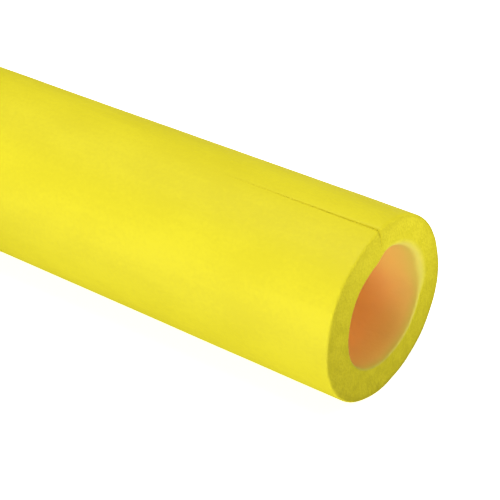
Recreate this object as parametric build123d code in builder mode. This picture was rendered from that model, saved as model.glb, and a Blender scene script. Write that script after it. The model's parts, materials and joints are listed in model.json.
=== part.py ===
from build123d import *

import os
from math import asin, degrees

# Slit foam tube: a hollow extrusion of closed-cell foam with plain cut ends and one lengthwise slit.
# The tube is a single springy extrusion. Its wall is cut here along the two lines where it flexes when
# the slit is pulled open, so that each lip can swing away from the back wall and close again.
# Frame, in millimetres: +X along the bore, +Z from the axis straight up through the slit, and the
# origin on the bore's axis at mid-length.

# Driving dimensions
LENGTH = 1000.0
BORE_RADIUS = 19.0
WALL_THICKNESS = 11.0
SLIT_WIDTH = 0.4  # the kerf that the slitting blade leaves
RIM_ROUNDING = 1.2  # on the edges of both cut ends
LIP_ROUNDING = 0.5  # on the edges along the slit
FLEX_LINE = 45.0  # degrees from straight down to each line where the wall flexes

# Worked out from them
OUTER_RADIUS = BORE_RADIUS + WALL_THICKNESS
SLIT_HALF_ANGLE = degrees(asin(SLIT_WIDTH / 2 / BORE_RADIUS))
DOWN, UP = -90.0, 90.0  # sketch angles, from +Y round towards +Z
CUT_END = Plane.YZ.offset(-LENGTH / 2)


def wall_section(start_angle, arc_size):
    """The wall's section between two radial cuts, as a face in the sketch being built."""
    with BuildLine() as outline:
        outside = CenterArc((0, 0), OUTER_RADIUS, start_angle, arc_size)
        bore = CenterArc((0, 0), BORE_RADIUS, start_angle, arc_size)
        Line(outside @ 0, bore @ 0)
        Line(outside @ 1, bore @ 1)
    make_face(outline.edges())


def round_rims(piece):
    """Rounds the outer and bore edges of both cut ends."""
    fillet(piece.edges().filter_by(GeomType.CIRCLE), radius=RIM_ROUNDING)


def finish(piece, name):
    """Labels a piece and writes its STEP file."""
    piece.part.label = name
    export_step(piece.part, f"parts/{name}.step")


# The back wall, opposite the slit: what a pole pushes against, and what the tube lies on.
with BuildPart() as back_wall:
    with BuildSketch(CUT_END):
        wall_section(DOWN - FLEX_LINE, 2 * FLEX_LINE)
    extrude(amount=LENGTH)
    round_rims(back_wall)

# The left wall, from its flex line up to its lip at the slit.
with BuildPart() as left_wall:
    with BuildSketch(CUT_END):
        wall_section(DOWN + FLEX_LINE, UP - SLIT_HALF_ANGLE - (DOWN + FLEX_LINE))
    extrude(amount=LENGTH)
    lip_edges = left_wall.edges().filter_by(Axis.X).sort_by(Axis.Z)[-2:]
    fillet(lip_edges, radius=LIP_ROUNDING)
    round_rims(left_wall)

# The right wall mirrors it across the slit.
with BuildPart() as right_wall:
    mirror(left_wall.part, about=Plane.XZ)

os.makedirs("parts", exist_ok=True)
finish(back_wall, "back_wall")
finish(left_wall, "left_wall")
finish(right_wall, "right_wall")
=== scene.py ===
import json
import math

import bmesh
import bpy
import numpy as np
from mathutils import Matrix, Vector, noise


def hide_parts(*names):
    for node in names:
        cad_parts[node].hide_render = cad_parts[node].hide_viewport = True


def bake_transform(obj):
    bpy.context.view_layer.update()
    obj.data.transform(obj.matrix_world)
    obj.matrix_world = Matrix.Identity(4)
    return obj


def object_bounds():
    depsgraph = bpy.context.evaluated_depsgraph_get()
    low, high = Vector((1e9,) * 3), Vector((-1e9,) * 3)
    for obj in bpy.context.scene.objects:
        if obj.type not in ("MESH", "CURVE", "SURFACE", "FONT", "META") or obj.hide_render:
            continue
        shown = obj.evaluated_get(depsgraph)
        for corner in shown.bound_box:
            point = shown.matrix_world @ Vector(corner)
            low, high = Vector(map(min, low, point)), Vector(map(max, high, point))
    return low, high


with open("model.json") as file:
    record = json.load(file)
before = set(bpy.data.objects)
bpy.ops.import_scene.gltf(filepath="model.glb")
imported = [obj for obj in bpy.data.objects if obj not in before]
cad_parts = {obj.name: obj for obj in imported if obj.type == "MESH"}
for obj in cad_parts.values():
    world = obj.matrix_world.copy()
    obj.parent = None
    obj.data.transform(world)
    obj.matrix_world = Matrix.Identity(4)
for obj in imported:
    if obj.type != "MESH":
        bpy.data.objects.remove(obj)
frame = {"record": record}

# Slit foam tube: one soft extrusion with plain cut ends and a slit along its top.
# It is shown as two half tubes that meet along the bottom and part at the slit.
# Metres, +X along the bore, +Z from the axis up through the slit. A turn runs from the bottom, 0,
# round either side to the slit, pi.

MM = 0.001

# ---------------------------------------------------------------- sizes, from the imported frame

cad_low, cad_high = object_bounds()
LENGTH = cad_high.x - cad_low.x
OUTER = (cad_high.y - cad_low.y) / 2
BORE = next(m["dims"]["r_mm"] for m in frame["record"]["mounts"] if m["name"] == "bore") * MM
WALL = OUTER - BORE

# ---------------------------------------------------------------- how the foam was cut

# Edges of a cut end, where the knife left them crisp and where it dragged the foam
CRISP_RIM_ROUNDING = 0.8 * MM  # where the skin turns over the edge
SOFT_RIM_ROUNDING = 1.4 * MM
CRISP_MOUTH_ROUNDING = 0.7 * MM  # where the cut end turns into the bore
SOFT_MOUTH_ROUNDING = 2.4 * MM
ROUNDING_VARIATION = 0.22  # the share by which all of these vary round the rims
ROUNDING_WAVES = 5  # how quickly they do so
SOFT_MOUTH_FLARE = 1.1 * MM  # how far the drag widened the bore, at its mouth
SOFT_MOUTH_REACH = 9 * MM  # how far in it did so
SOFT_SIDE_DAYLIGHT = 0.63  # how much slower the bore's painted glow deepens on the soft side, as a share

# The slit
GAP_AT_END = 0.11 * MM  # how far the lips stand apart at a cut end
GAP_INSIDE = 0.004 * MM  # and where the tube's spring has closed them
GAP_REACH = 62 * MM  # how far in from a cut end the slit closes up
GAP_VARIATION = 0.5  # the share by which the gap varies along the slit
LIP_ROUNDING_AT_END = 0.9 * MM
LIP_ROUNDING_INSIDE = 0.01 * MM
NOTCH_ROUNDING = 0.8 * MM  # the knife tore the lips a little where it went in, at the cut end
NOTCH_REACH = 2.2 * MM
SLIT_WANDER = 0.3 * MM  # how far the knife strayed from a straight line
SLIT_WAVE = 18 * MM  # and over what length
GAP_WAVE = SLIT_WAVE / 1.7

# The cut ends
END_WARP = 0.2 * MM  # how far a cut end is from flat
END_WARP_SIZE = 19 * MM
SLANT = 0.6 * MM  # the cut runs back towards the bottom, where the knife left the foam
END_REACH = 60 * MM  # how far in from the cut end both die away
SHADE_WIDTH = 3 * MM  # how wide a band of painted shade runs along the bottom of the skin's rim
SLIT_SHADE_WIDTH = 1.4 * MM  # and a fainter band of painted shade on each side of the slit
SLIT_SHADE_STRENGTH = 0.25

# Waves that the extrusion leaves: how far they move the surface, and their size along and across
SLOW_WAVES = 0.22 * MM
SLOW_WAVE_SIZE = (70, 22, 22)  # millimetres
FINE_WAVES = 0.06 * MM
FINE_WAVE_SIZE = (14, 7, 7)
KNIFE_MARKS = 0.04 * MM  # how high the marks are that the knife left on a cut end
KNIFE_MARKS_TO_A_WAVE = 3  # and how many go to one fine wave

# Parts of the rim, in degrees: where the middle is, from the bottom towards +Y, how far to each
# side of it the part is at its fullest, and how far from it the part has faded out
SOFT_MOUTH = (128, 36.9, 62.2)
BOTTOM = (0, 0, 82.5)
SLANTED = (-32, 0, 76.7)
WORN = (-45, 27.3, 102.8)  # where the cut is at its roughest


def smooth(value):
    """0 below 0, 1 above 1, and a smooth step between."""
    value = np.clip(value, 0, 1)
    return value * value * (3 - 2 * value)


def between(low, high, share):
    return low + (high - low) * share


def fullness(part, turn, side=1):
    """1 where a turn is well inside a part of the rim, 0 outside it, smooth between."""
    middle, full, faded = [math.radians(angle) for angle in part]
    low = math.cos(faded)
    high = math.cos(full)
    return smooth((np.cos(side * turn - middle) - low) / (high - low))


NOISE_SEED = 1
noise.seed_set(NOISE_SEED)  # without a seed, the vector noise differs from run to run


def wander(points, seed):
    """Smooth noise from -1 to 1 at each point, one number each."""
    shift = Vector((seed * 17.3, seed * -9.1, seed * 5.7))
    return np.array([noise.noise(Vector(p) + shift) for p in points])


def wander_vectors(points, seed):
    """Smooth noise, one vector for each point."""
    shift = Vector((seed * 11.9, seed * 7.7, seed * -13.3))
    return np.array([noise.noise_vector(Vector(p) + shift) for p in points])


# ---------------------------------------------------------------- the half tube's mesh

# Steps between mesh rows: at an edge, how fast they grow away from it, and the longest
ALONG_STEPS = (0.22 * MM, 1.14, 4.0 * MM)
ACROSS_STEPS = (0.22 * MM, 1.25, 0.6 * MM)
AROUND_STEPS = (0.12 * MM, 1.3, 0.97 * MM)
SHARP_ANGLE = math.radians(50)


def graded_places(span, steps):
    """Places from 0 to span, close together at both ends and evenly spaced between."""
    step, growth, longest = steps
    run = []
    while step < longest:
        run.append(step)
        step *= growth
    middle = span - 2 * sum(run)
    count = math.ceil(middle / longest)
    run = run + [middle / count] * count + run[::-1]
    return np.concatenate([[0], np.cumsum(run)])


def surface_of_block(counts):
    """The grid points and quads on the surface of a block of cells."""
    index = {}

    def point(*at):
        return index.setdefault(at, len(index))

    quads = []
    for axis in range(3):
        first, second = [a for a in range(3) if a != axis]
        for side in (0, counts[axis]):
            for i in range(counts[first]):
                for j in range(counts[second]):
                    corners = []
                    for di, dj in ((0, 0), (1, 0), (1, 1), (0, 1)):
                        at = [0, 0, 0]
                        at[axis] = side
                        at[first] = i + di
                        at[second] = j + dj
                        corners.append(point(*at))
                    quads.append(corners)
    return np.array(list(index)), quads


def rounding(radius, *distances):
    """How far to move points away from faces that meet at an edge, so that the edge is rounded.

    distances are from each of the faces. Returns one shift for each of them.
    """
    inside = [np.clip(1 - distance / radius, 0, None) for distance in distances]
    size = np.maximum(np.sqrt(sum(x * x for x in inside)), 1)
    return [radius * x * (1 - 1 / size) for x in inside]


def slit_shape(x, to_end, outwards):
    """At each point, half the slit's gap, how far it strays sideways, and its lips' rounding."""
    near_end = (1 - smooth(to_end / GAP_REACH)) * outwards**3
    along_slit = np.stack([x, 0 * x, 0 * x], axis=1)
    half_gap = between(GAP_INSIDE, GAP_AT_END, near_end) / 2
    half_gap = half_gap * (1 + GAP_VARIATION * wander(along_slit / GAP_WAVE, seed=3))
    stray = SLIT_WANDER * wander(along_slit / SLIT_WAVE, seed=4)
    lip_radius = between(LIP_ROUNDING_INSIDE, LIP_ROUNDING_AT_END, near_end)
    lip_radius = lip_radius + NOTCH_ROUNDING * np.exp(-to_end / NOTCH_REACH) * outwards**2
    return half_gap, stray, lip_radius


def uneven(ideal, to_end, at_far_end, turn, side):
    """How far each point is off the ideal shape: the extrusion's waves, and ends that aren't flat."""
    slow_places = ideal / np.array(SLOW_WAVE_SIZE) / MM
    fine_places = ideal / np.array(FINE_WAVE_SIZE) / MM
    off = SLOW_WAVES * wander_vectors(slow_places, seed=1)
    off = off + FINE_WAVES * wander_vectors(fine_places, seed=2)
    on_cut_end = to_end < ALONG_STEPS[0] / 2
    off[:, 0] = KNIFE_MARKS * wander(fine_places * KNIFE_MARKS_TO_A_WAVE, seed=7) * on_cut_end
    warp = END_WARP * wander(ideal / END_WARP_SIZE, seed=6) + SLANT * fullness(SLANTED, turn, side)
    warp = warp * smooth(1 - to_end / END_REACH)
    off[:, 0] += warp * np.where(at_far_end, 1, -1)
    return off


def half_tube(name, side):
    """One half of the tube. side is +1 for the half at +Y and -1 for the half at -Y."""
    along = graded_places(LENGTH, ALONG_STEPS)
    across = graded_places(WALL, ACROSS_STEPS)
    around = graded_places(math.pi * OUTER, AROUND_STEPS) / (math.pi * OUTER)
    grid, quads = surface_of_block([len(along) - 1, len(across) - 1, len(around) - 1])
    x = cad_low.x + along[grid[:, 0]]
    depth = across[grid[:, 1]]
    share = around[grid[:, 2]]
    turn = share * math.pi
    radius = BORE + depth

    # Distances to the cut end, to the nearer of skin and bore, and to the lip
    at_far_end = x < (cad_low.x + cad_high.x) / 2
    to_end = np.where(at_far_end, x - cad_low.x, cad_high.x - x)
    on_bore_side = depth < WALL / 2
    to_wall = np.where(on_bore_side, depth, WALL - depth)
    to_lip = (1 - share) * math.pi * radius

    # How round the edges are, from place to place
    half_gap, stray, lip_radius = slit_shape(x, to_end, depth / WALL)
    softness = fullness(SOFT_MOUTH, turn, side)
    rim_softness = np.maximum(softness, fullness(BOTTOM, turn))
    mouth_radius = between(CRISP_MOUTH_ROUNDING, SOFT_MOUTH_ROUNDING, softness)
    skin_radius = between(CRISP_RIM_ROUNDING, SOFT_RIM_ROUNDING, rim_softness)
    rim_places = np.stack(
        [ROUNDING_WAVES * np.cos(turn), side * ROUNDING_WAVES * np.sin(turn), x / LENGTH], axis=1
    )
    rim_radius = np.where(on_bore_side, mouth_radius, skin_radius)
    rim_radius = rim_radius * (1 + ROUNDING_VARIATION * wander(rim_places, seed=5))

    # The lip's rounding counts only what it adds to the rim's own
    rim_shifts = rounding(rim_radius, to_end, to_wall)
    lip_shifts = rounding(lip_radius, to_end, to_wall, to_lip)
    away_from_lip = rounding(lip_radius, to_end, to_wall)
    new_end = to_end + rim_shifts[0] + lip_shifts[0] - away_from_lip[0]
    new_wall = to_wall + rim_shifts[1] + lip_shifts[1] - away_from_lip[1]
    new_lip = to_lip + lip_shifts[2]
    new_x = np.where(at_far_end, cad_low.x + new_end, cad_high.x - new_end)
    new_depth = np.where(on_bore_side, new_wall, WALL - new_wall)
    flare = SOFT_MOUTH_FLARE * softness * np.exp(-to_end / SOFT_MOUTH_REACH)
    new_radius = BORE + new_depth + flare * (1 - new_depth / WALL)

    # The slit's path moves both lips together, and the shift dies away towards the bottom
    lip_turn = math.pi - (half_gap + side * stray) / new_radius
    new_turn = (1 - new_lip / (math.pi * radius)) * lip_turn
    y = side * new_radius * np.sin(new_turn)
    z = -new_radius * np.cos(new_turn)
    ideal = np.stack([new_x, y, z], axis=1)
    shape = ideal + uneven(ideal, to_end, at_far_end, turn, side)

    mesh = bpy.data.meshes.new(name)
    mesh.from_pydata(shape.tolist(), [], quads)
    facts = {
        **distances(to_end, depth, to_lip, mouth_radius, softness),
        "painted_shade": painted_shade_on_end(to_end, depth, to_lip, turn),
        "worn": fullness(WORN, turn, side),
    }
    add_facts(mesh, ideal, facts)
    tidy_normals(mesh)
    piece = bpy.data.objects.new(name, mesh)
    bpy.context.scene.collection.objects.link(piece)
    return piece


def distances(to_end, depth, to_lip, mouth_radius, softness):
    """How far each point is from the edges that the material changes at.

    past_skin is in millimetres, and past_mouth in roundings of the bore's mouth, so that the bore's
    colour reaches as far round the edge as the edge is soft. inward is in millimetres too, and
    counts slower on the soft side, so that the painted glow there stands in for more daylight getting
    in.
    """
    edge = np.minimum(to_end, to_lip)
    on_skin = depth > WALL - 1e-9
    on_bore = depth < 1e-9
    return {
        "past_skin": np.where(on_skin, -edge, WALL - depth) / MM,
        "past_mouth": np.where(on_bore, edge, -depth) / mouth_radius,
        "inward": to_end * (1 - SOFT_SIDE_DAYLIGHT * softness) / MM,
    }


def painted_shade_on_end(to_end, depth, to_lip, turn):
    """Painted shade on the cut end: along the bottom of the rim, and fainter beside the slit."""
    at_rim = smooth(1.1 - (WALL - depth) / SHADE_WIDTH)
    outer_half = smooth(2 * depth / WALL - 0.5)
    at_slit = np.exp(-((to_lip / SLIT_SHADE_WIDTH) ** 2)) * outer_half
    on_end = np.exp(-to_end / MM)
    return (fullness(BOTTOM, turn) * at_rim + SLIT_SHADE_STRENGTH * at_slit) * on_end


def add_facts(mesh, ideal, facts):
    """Stores each point's rest place and the numbers that the material needs."""
    rest = mesh.attributes.new("rest", "FLOAT_VECTOR", "POINT")
    rest.data.foreach_set("vector", ideal.astype(np.float32).ravel())
    for name, values in facts.items():
        attribute = mesh.attributes.new(name, "FLOAT", "POINT")
        attribute.data.foreach_set("value", values.astype(np.float32))


def tidy_normals(mesh):
    """Points the faces outwards, and shades them smooth except across the knife's sharp edges."""
    work = bmesh.new()
    work.from_mesh(mesh)
    bmesh.ops.recalc_face_normals(work, faces=work.faces)
    for face in work.faces:
        face.smooth = True
    for edge in work.edges:
        edge.smooth = edge.calc_face_angle() < SHARP_ANGLE
    work.to_mesh(mesh)
    work.free()


# ---------------------------------------------------------------- the foam's material

SKIN_COLOUR = (0.765, 0.672, 0.018, 1)
SKIN_DARK = (0.715, 0.622, 0.015, 1)
CUT_COLOUR = (0.765, 0.668, 0.022, 1)
CUT_DARK = (0.70, 0.608, 0.016, 1)
# The cut end's worn patches, and the painted shade on it, darken towards this colour
WORN_AND_SHADED = (0.57, 0.49, 0.013, 1)
# The bore's colours are painted light: a glow standing in for daylight through the foam's wall, pale
# at the mouth and orange further in
BORE_MOUTH_GLOW = (0.65, 0.625, 0.085, 1)
BORE_INSIDE_GLOW = (0.87, 0.635, 0.135, 1)
BORE_DEEP_GLOW = (0.99, 0.55, 0.155, 1)

# Features a metre
BORDER_RAGS = 1400  # of the border between skin and cut
BLOTCHES = 55
PEBBLES = 900  # closed cells under the skin
STREAKS = 420
PITS = 1150  # cells that the knife opened
CUT_BLOTCHES = 190
WORN_PATCHES = 260
BORE_BLOTCHES = 130

# Where each change of look starts, and where it is complete
CUT_RANGE = (-0.15, 0.35)  # millimetres past the skin's edge
BORE_RANGE = (-1.3, 0.2)  # roundings of the bore's mouth past its edge
INSIDE_RANGE = (-0.5, 4.0)  # millimetres into the bore
DEEP_RANGE = (-4.0, 15.0)
RAGGEDNESS = 0.5  # millimetres by which the border between skin and cut strays

# How much of each pattern goes into a tone, and which tones are the darkest and the lightest
BLOTCH_SHARE = 0.55
PEBBLE_SHARE = 0.30
STREAK_SHARE = 0.15
SKIN_TONES = (0.38, 0.64)
PIT_SHARE = -0.5
CUT_TONES = (0.05, 0.50)
PATCH_TONES = (0.42, 0.72)
PATCH_STRENGTH = 0.55
BORE_BLOTCH_SHARE = 0.2

# How far each pattern stands out
PEBBLE_HEIGHT = 0.10 * MM
STREAK_HEIGHT = 0.04 * MM
PIT_HEIGHT = 0.16 * MM

SKIN_ROUGHNESS = (0.52, 0.66)  # between the pebbles and on them
CUT_ROUGHNESS = 0.82
GLOSS = 0.2  # the shader's specular level, low because foam scatters most light


class Nodes:
    """Adds shader nodes to a material's tree with one call each."""

    def __init__(self, material):
        self.tree = material.node_tree

    def add(self, kind, *links, **settings):
        """A node of that kind. Each link is (socket, value or another node's output)."""
        node = self.tree.nodes.new(kind)
        for key, value in settings.items():
            setattr(node, key, value)
        for socket, value in links:
            if isinstance(value, bpy.types.NodeSocket):
                self.tree.links.new(value, node.inputs[socket])
            else:
                node.inputs[socket].default_value = value
        return node

    def math(self, operation, *values):
        return self.add("ShaderNodeMath", *enumerate(values), operation=operation).outputs[0]

    def plus(self, first, second):
        return self.math("ADD", first, second)

    def times(self, first, second):
        return self.math("MULTIPLY", first, second)

    def centred(self, value, spread):
        """Noise round 0 instead of round a half, so many times as strong."""
        return self.times(self.math("SUBTRACT", value, 0.5), spread)

    def fact(self, name, output="Fac"):
        return self.add("ShaderNodeAttribute", attribute_name=name).outputs[output]

    def mix(self, factor, low, high):
        node = self.add("ShaderNodeMix", (0, factor), (6, low), (7, high), data_type="RGBA")
        return node.outputs[2]

    def mix_numbers(self, factor, low, high):
        return self.add("ShaderNodeMix", (0, factor), (2, low), (3, high)).outputs[0]

    def step(self, value, low, high):
        """0 where value is below low, 1 above high, smooth between."""
        node = self.add(
            "ShaderNodeMapRange",
            ("Value", value),
            ("From Min", low),
            ("From Max", high),
            interpolation_type="SMOOTHSTEP",
        )
        return node.outputs["Result"]

    def place(self, per_metre, stretch):
        """The rest place times per_metre, so that a pattern stays on the foam as it bends."""
        scale = (per_metre / stretch, per_metre, per_metre)
        node = self.add(
            "ShaderNodeMapping", ("Vector", self.fact("rest", "Vector")), ("Scale", scale)
        )
        return node.outputs["Vector"]

    def noise(self, per_metre, detail=2.0, stretch=1.0):
        """Noise with so many features a metre, stretched along the tube."""
        place = self.place(per_metre, stretch)
        node = self.add("ShaderNodeTexNoise", ("Vector", place), ("Scale", 1.0), ("Detail", detail))
        return node.outputs["Fac"]

    def cells(self, per_metre):
        """How far it is to the middle of the nearest foam cell, with so many cells a metre."""
        place = self.place(per_metre, 1.0)
        node = self.add("ShaderNodeTexVoronoi", ("Vector", place), ("Scale", 1.0), feature="F1")
        return node.outputs["Distance"]


def foam_material():
    material = bpy.data.materials.new("yellow_foam")
    material.use_nodes = True
    nodes = Nodes(material)
    shader = material.node_tree.nodes["Principled BSDF"]

    # Which surface this is. Fine noise makes the border between skin and cut ragged.
    ragged = nodes.centred(nodes.noise(BORDER_RAGS), RAGGEDNESS)
    cut = nodes.step(nodes.plus(nodes.fact("past_skin"), ragged), *CUT_RANGE)
    bore = nodes.step(nodes.fact("past_mouth"), *BORE_RANGE)

    # Skin: closed cells flattened against the die, faint streaks along the tube
    blotches = nodes.noise(BLOTCHES, detail=3.0, stretch=1.8)
    pebbles = nodes.noise(PEBBLES, stretch=1.3)
    streaks = nodes.noise(STREAKS, stretch=26)
    fine_tone = nodes.plus(nodes.times(pebbles, PEBBLE_SHARE), nodes.times(streaks, STREAK_SHARE))
    skin_tone = nodes.plus(nodes.times(blotches, BLOTCH_SHARE), fine_tone)
    skin_colour = nodes.mix(nodes.step(skin_tone, *SKIN_TONES), SKIN_DARK, SKIN_COLOUR)

    # Cut faces: the knife opens the cells, and their walls stand round small pits
    pits = nodes.cells(PITS)
    cut_tone = nodes.plus(nodes.times(pits, PIT_SHARE), nodes.noise(CUT_BLOTCHES, detail=3.0))
    cut_colour = nodes.mix(nodes.step(cut_tone, *CUT_TONES), CUT_DARK, CUT_COLOUR)
    patches = nodes.step(nodes.noise(WORN_PATCHES, detail=4.0), *PATCH_TONES)
    worn = nodes.times(nodes.times(patches, nodes.fact("worn")), PATCH_STRENGTH)
    # Worn patches darken the cut end, and so does painted shade along the bottom of its rim and
    # beside the slit
    cut_colour = nodes.mix(nodes.plus(worn, nodes.fact("painted_shade")), cut_colour, WORN_AND_SHADED)

    # Bore: painted light, a glow standing in for daylight that comes through the wall, deeper in
    # colour away from the cut end
    bore_blotches = nodes.centred(nodes.noise(BORE_BLOTCHES, detail=3.0), BORE_BLOTCH_SHARE)
    inside = nodes.plus(nodes.step(nodes.fact("inward"), *INSIDE_RANGE), bore_blotches)
    deep = nodes.plus(nodes.step(nodes.fact("inward"), *DEEP_RANGE), bore_blotches)
    bore_glow_colour = nodes.mix(deep, nodes.mix(inside, BORE_MOUTH_GLOW, BORE_INSIDE_GLOW), BORE_DEEP_GLOW)

    colour = nodes.mix(cut, skin_colour, cut_colour)
    colour = nodes.mix(bore, colour, bore_glow_colour)
    material.node_tree.links.new(colour, shader.inputs["Base Color"])

    # Relief, in metres. The bore has the skin's.
    pebble_relief = nodes.times(pebbles, PEBBLE_HEIGHT)
    skin_relief = nodes.plus(pebble_relief, nodes.times(streaks, STREAK_HEIGHT))
    relief = nodes.mix_numbers(cut, skin_relief, nodes.times(pits, PIT_HEIGHT))
    relief = nodes.mix_numbers(bore, relief, skin_relief)
    bump = nodes.add("ShaderNodeBump", ("Height", relief), ("Strength", 1.0), ("Distance", 1.0))
    material.node_tree.links.new(bump.outputs["Normal"], shader.inputs["Normal"])

    rough = nodes.mix_numbers(cut, nodes.mix_numbers(pebbles, *SKIN_ROUGHNESS), CUT_ROUGHNESS)
    material.node_tree.links.new(rough, shader.inputs["Roughness"])
    shader.inputs["Specular IOR Level"].default_value = GLOSS
    return material


# ---------------------------------------------------------------- the pieces

HALVES = (("foam_left", +1, "left_wall"), ("foam_right", -1, "right_wall"))


def add_halves():
    """Builds each half tube in the foam material, and hides the imported wall and back wall that it
    stands for.
    """
    foam = foam_material()
    for name, side, wall in HALVES:
        piece = half_tube(name, side)
        piece.data.materials.append(foam)
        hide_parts(wall, "back_wall")
        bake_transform(piece)


# ---------------------------------------------------------------- floor, light and camera

FLOOR_SIZE = 12.0
BACKDROP_RADIUS = 20.0
STAGE_COLOUR = (0.9, 0.9, 0.9, 1)
STAGE_ROUGHNESS = 0.9
STAGE_GLOW = 0.85
WORLD_STRENGTH = 0.2
WHITE = (1, 1, 1, 1)
CAMERA_PLACE = Vector((0.7245, -0.3077, 0.3234))
CAMERA_RIGHT = Vector((0.79127, 0.60317, -0.10042))
CAMERA_DOWN = Vector((0.31091, -0.53828, -0.78332))
CAMERA_LENS = 120.17
CAMERA_SENSOR = 36.0


def add_stage_piece(name, mesh):
    """A pale glowing surface that only the camera sees, and that every lamp shines through."""
    piece = bpy.data.objects.new(name, mesh)
    bpy.context.scene.collection.objects.link(piece)
    material = bpy.data.materials.new("pale_" + name)
    material.use_nodes = True
    shader = material.node_tree.nodes["Principled BSDF"]
    shader.inputs["Base Color"].default_value = STAGE_COLOUR
    shader.inputs["Roughness"].default_value = STAGE_ROUGHNESS
    shader.inputs["Emission Color"].default_value = WHITE
    shader.inputs["Emission Strength"].default_value = STAGE_GLOW
    mesh.materials.append(material)
    piece.visible_diffuse = False
    piece.visible_glossy = False
    piece.visible_shadow = False


def add_floor(height):
    """A light table, which the object stands on."""
    mesh = bpy.data.meshes.new("floor")
    half = FLOOR_SIZE / 2
    corners = ((-half, -half), (half, -half), (half, half), (-half, half))
    mesh.from_pydata([(x, y, height) for x, y in corners], [], [(0, 1, 2, 3)])
    add_stage_piece("floor", mesh)


def add_backdrop():
    """A pale dome all round, for views that look past the floor's edge."""
    dome = bmesh.new()
    bmesh.ops.create_icosphere(dome, subdivisions=4, radius=BACKDROP_RADIUS)
    mesh = bpy.data.meshes.new("backdrop")
    dome.to_mesh(mesh)
    dome.free()
    add_stage_piece("backdrop", mesh)


def add_camera():
    data = bpy.data.cameras.new("camera")
    data.lens = CAMERA_LENS
    data.sensor_width = CAMERA_SENSOR
    data.clip_start = 0.01
    camera = bpy.data.objects.new("camera", data)
    up = -CAMERA_DOWN
    back = CAMERA_RIGHT.cross(up)
    turned = Matrix((CAMERA_RIGHT, up, back)).transposed()
    camera.matrix_world = Matrix.Translation(CAMERA_PLACE) @ turned.to_4x4()
    bpy.context.scene.collection.objects.link(camera)
    bpy.context.scene.camera = camera


def add_lamp(name, start, offset, target, size, watts, shines=True):
    """A round lamp at an offset from start. One that doesn't shine gives the foam no highlight."""
    data = bpy.data.lights.new(name, "AREA")
    data.shape = "DISK"
    data.size = size
    data.energy = watts
    lamp = bpy.data.objects.new(name, data)
    lamp.location = start + Vector(offset)
    lamp.rotation_euler = (target - lamp.location).to_track_quat("-Z", "Y").to_euler()
    lamp.visible_camera = False
    lamp.visible_glossy = shines
    bpy.context.scene.collection.objects.link(lamp)


def add_lamps():
    near_end = Vector((cad_high.x, 0, 0))
    far_end = Vector((cad_low.x, 0, 0))
    middle = Vector((0, 0, 0))
    aim = near_end + Vector((-0.1, 0, 0))
    along = near_end + Vector((-0.4, 0, 0))
    end_spot = near_end + Vector((0, 0.014, 0.02))

    # From above and from the camera's left
    add_lamp("top", near_end, (-0.2, 0, 1.2), aim, size=0.8, watts=13.7)
    add_lamp("left", near_end, (-0.6, -1.2, 0.25), along, size=0.7, watts=4.2)

    # From below, through the floor
    add_lamp("low_front", near_end, (0.6, -0.75, -0.4), aim, size=0.6, watts=6.2)
    add_lamp("low_left", near_end, (-0.1, -1.1, -0.35), aim, size=0.7, watts=3.3)
    add_lamp("low_left_middle", near_end, (-0.6, -1.1, -0.35), along, size=0.7, watts=2.6)

    # From behind, without highlights, which would turn the tube's far edge grey
    add_lamp("back", middle, (0, 1.1, -0.05), middle, size=0.9, watts=2.0, shines=False)
    add_lamp("low_back", middle, (0, 0.9, -0.6), middle, size=0.9, watts=6.0, shines=False)
    add_lamp("low_far", far_end, (-1.1, 0.35, -0.5), far_end, size=0.7, watts=4.0, shines=False)

    # Close to the upper part of the near cut end, and in the bore behind it, where it stands in
    # for the daylight that real foam lets through its wall
    add_lamp("end", end_spot, (0.05, 0, 0), end_spot, size=0.03, watts=0.016)
    add_lamp("bore", near_end, (-0.06, 0, 0), near_end, size=0.02, watts=0.0022)


def add_world():
    """A dim pale sky that gives no highlights."""
    world = bpy.data.worlds.new("studio")
    world.use_nodes = True
    background = world.node_tree.nodes["Background"]
    background.inputs["Color"].default_value = WHITE
    background.inputs["Strength"].default_value = WORLD_STRENGTH
    world.cycles_visibility.glossy = False
    bpy.context.scene.world = world


add_halves()
add_world()
add_lamps()
visual_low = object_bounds()[0]
add_floor(visual_low.z)
add_backdrop()
add_camera()
bpy.context.scene.view_settings.view_transform = "Standard"
